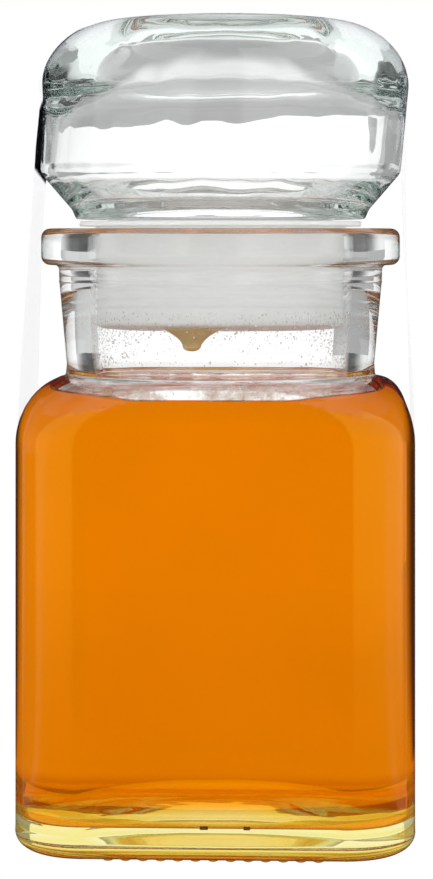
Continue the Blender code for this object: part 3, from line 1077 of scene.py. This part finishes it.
def start_glow(name):
    """Material without a Principled shader, for a glowing surface of the studio."""
    material = bpy.data.materials.new(name)
    material.use_nodes = True
    tree = material.node_tree
    tree.nodes.clear()
    output = tree.nodes.new("ShaderNodeOutputMaterial")
    glow = tree.nodes.new("ShaderNodeEmission")
    clear = tree.nodes.new("ShaderNodeBsdfTransparent").outputs["BSDF"]
    seen = tree.nodes.new("ShaderNodeLightPath").outputs
    return material, tree, output, glow, clear, seen


def make_floor():
    """White glowing floor; mirrored rays pass it, so that the honey's flat sides stay free of its veil."""
    material, tree, output, glow, clear, seen = start_glow("floor_white")
    place = separate(tree, object_coordinates(tree))
    bearing = calculate(tree, "ARCTAN2", place["X"], place["Y"])
    bearing = calculate(tree, "PINGPONG", bearing, math.pi / 2)
    distance = tree.nodes.new("ShaderNodeVectorMath")
    distance.operation = "LENGTH"
    link(tree, object_coordinates(tree), distance.inputs[0])
    distance = distance.outputs["Value"]
    ahead = spread(tree, bearing, *[math.radians(edge) for edge in BRIGHT_AHEAD], 1.0, DIAGONAL_LEVEL)
    aside = spread(tree, bearing, *[math.radians(edge) for edge in BRIGHT_ASIDE], DIAGONAL_LEVEL, 1.0)
    near = spread(tree, distance, BRIGHT_NEAR[1] * MM, BRIGHT_NEAR[0] * MM, 0.0, 1.0)
    far = spread(tree, distance, WHITE_FAR[0] * MM, WHITE_FAR[1] * MM, FLOOR_LEVEL, 1.0)
    lit = calculate(tree, "MAXIMUM", calculate(tree, "MAXIMUM", ahead, aside), near)
    strength = calculate(tree, "MULTIPLY", lit, far)
    strength = choose(tree, seen["Diffuse Depth"], strength, DIFFUSE_LEVEL)
    strength = choose(tree, seen["Is Camera Ray"], strength, 1.0)
    link(tree, strength, glow.inputs["Strength"])
    mirrored = calculate(tree, "SUBTRACT", seen["Is Glossy Ray"], seen["Is Transmission Ray"])
    mirrored.node.use_clamp = True
    mix_surfaces(tree, output, mirrored, glow.outputs["Emission"], clear)
    bpy.ops.mesh.primitive_plane_add(size=6.0)
    floor = bpy.context.object
    floor.name = "floor"
    floor.data.materials.append(material)


def make_panel():
    """Bright panel behind the jar that only light on its way through glass meets."""
    material, tree, output, glow, clear, seen = start_glow("panel_white")
    place = separate(tree, object_coordinates(tree))
    low, high = PANEL_STEP
    level = spread(tree, place["Z"], low * MM, high * MM, PANEL_LOW_LEVEL, PANEL_HIGH_LEVEL)
    link(tree, level, glow.inputs["Strength"])
    mix_surfaces(tree, output, seen["Is Transmission Ray"], clear, glow.outputs["Emission"])
    corners = [(PANEL_LEFT, 0.0), (PANEL_RIGHT, 0.0), (PANEL_RIGHT, PANEL_TOP), (PANEL_LEFT, PANEL_TOP)]
    mesh = bpy.data.meshes.new("panel")
    mesh.from_pydata([(x * MM, PANEL_DEPTH * MM, z * MM) for x, z in corners], [], [(0, 1, 2, 3)])
    panel = bpy.data.objects.new("panel", mesh)
    bpy.context.scene.collection.objects.link(panel)
    panel.data.materials.append(material)


def make_camera():
    camera = bpy.data.objects.new("camera", bpy.data.cameras.new("camera"))
    bpy.context.scene.collection.objects.link(camera)
    bearing = math.radians(CAMERA_BEARING)
    side = Vector((math.cos(bearing), math.sin(bearing), 0.0))
    back = Vector((math.sin(bearing), -math.cos(bearing), 0.0))
    camera.location = (back * CAMERA_DISTANCE + Vector((0.0, 0.0, CAMERA_HEIGHT))) * MM
    aim = (side * CAMERA_AIM + Vector((0.0, 0.0, CAMERA_HEIGHT))) * MM
    camera.rotation_mode = "QUATERNION"
    camera.rotation_quaternion = (aim - camera.location).to_track_quat("-Z", "Y")
    camera.data.lens = LENS
    camera.data.shift_y = CAMERA_DROP
    camera.data.clip_start = 0.01
    bpy.context.scene.camera = camera


def main():
    scene = bpy.context.scene
    scene.view_settings.view_transform = "Standard"
    scene.cycles.use_denoising = True
    scene.cycles.max_bounces = 32
    scene.cycles.transmission_bounces = 32
    scene.cycles.glossy_bounces = 32
    scene.cycles.transparent_max_bounces = 16
    jar_glass = clear_solid(
        "clear_glass", GLASS_IOR, JAR_LOSS, (60.0, 0.12, 0.0004), ((0.97, 0.98, 0.975), (1.0, 1.0, 1.0))
    )
    read_gleam(jar_glass)
    # Painted glow on the foot of the glass, in place of light coming through the honey.
    paint_heel_glow(jar_glass)
    lid_glass = clear_solid(
        "lid_glass", GLASS_IOR, LID_LOSS, (90.0, 0.2, 0.0005), ((0.96, 0.975, 0.97), (1.0, 1.0, 1.0))
    )
    honey = clear_solid(
        "honey", HONEY_IOR, HONEY_LOSS, (40.0, 0.04, 0.0003), ((1.0, 0.97, 0.9), (1.0, 0.99, 0.95))
    )
    read_gleam(honey)
    drop = clear_solid(
        "honey_drop", HONEY_IOR, DROP_LOSS, (80.0, 0.04, 0.0003), ((0.98, 0.8, 0.36), (1.0, 0.88, 0.45))
    )
    drop.node_tree.nodes["Principled BSDF"].inputs["Transmission Weight"].default_value = 0.6
    drop.node_tree.nodes["Principled BSDF"].inputs["Roughness"].default_value = 0.15
    water = clear_solid(
        "water", WATER_IOR, WATER_LOSS, (500.0, 0.1, 0.0001), ((0.98, 0.98, 0.98), (1.0, 1.0, 1.0))
    )
    make_jar(jar_glass)
    make_honey(honey)
    make_stopper(milky_plastic())
    make_lid(lid_glass)
    make_film(film_material())
    make_drip(drop)
    make_condensation(water)
    make_froth(foam_material())
    make_marks(dark_amber("mark_brown", (0.10, 0.025, 0.004), 0.9))
    make_flange_line(dark_amber("flange_amber", (0.42, 0.17, 0.045), 0.45))
    make_world()
    make_floor()
    make_panel()
    make_camera()


main()
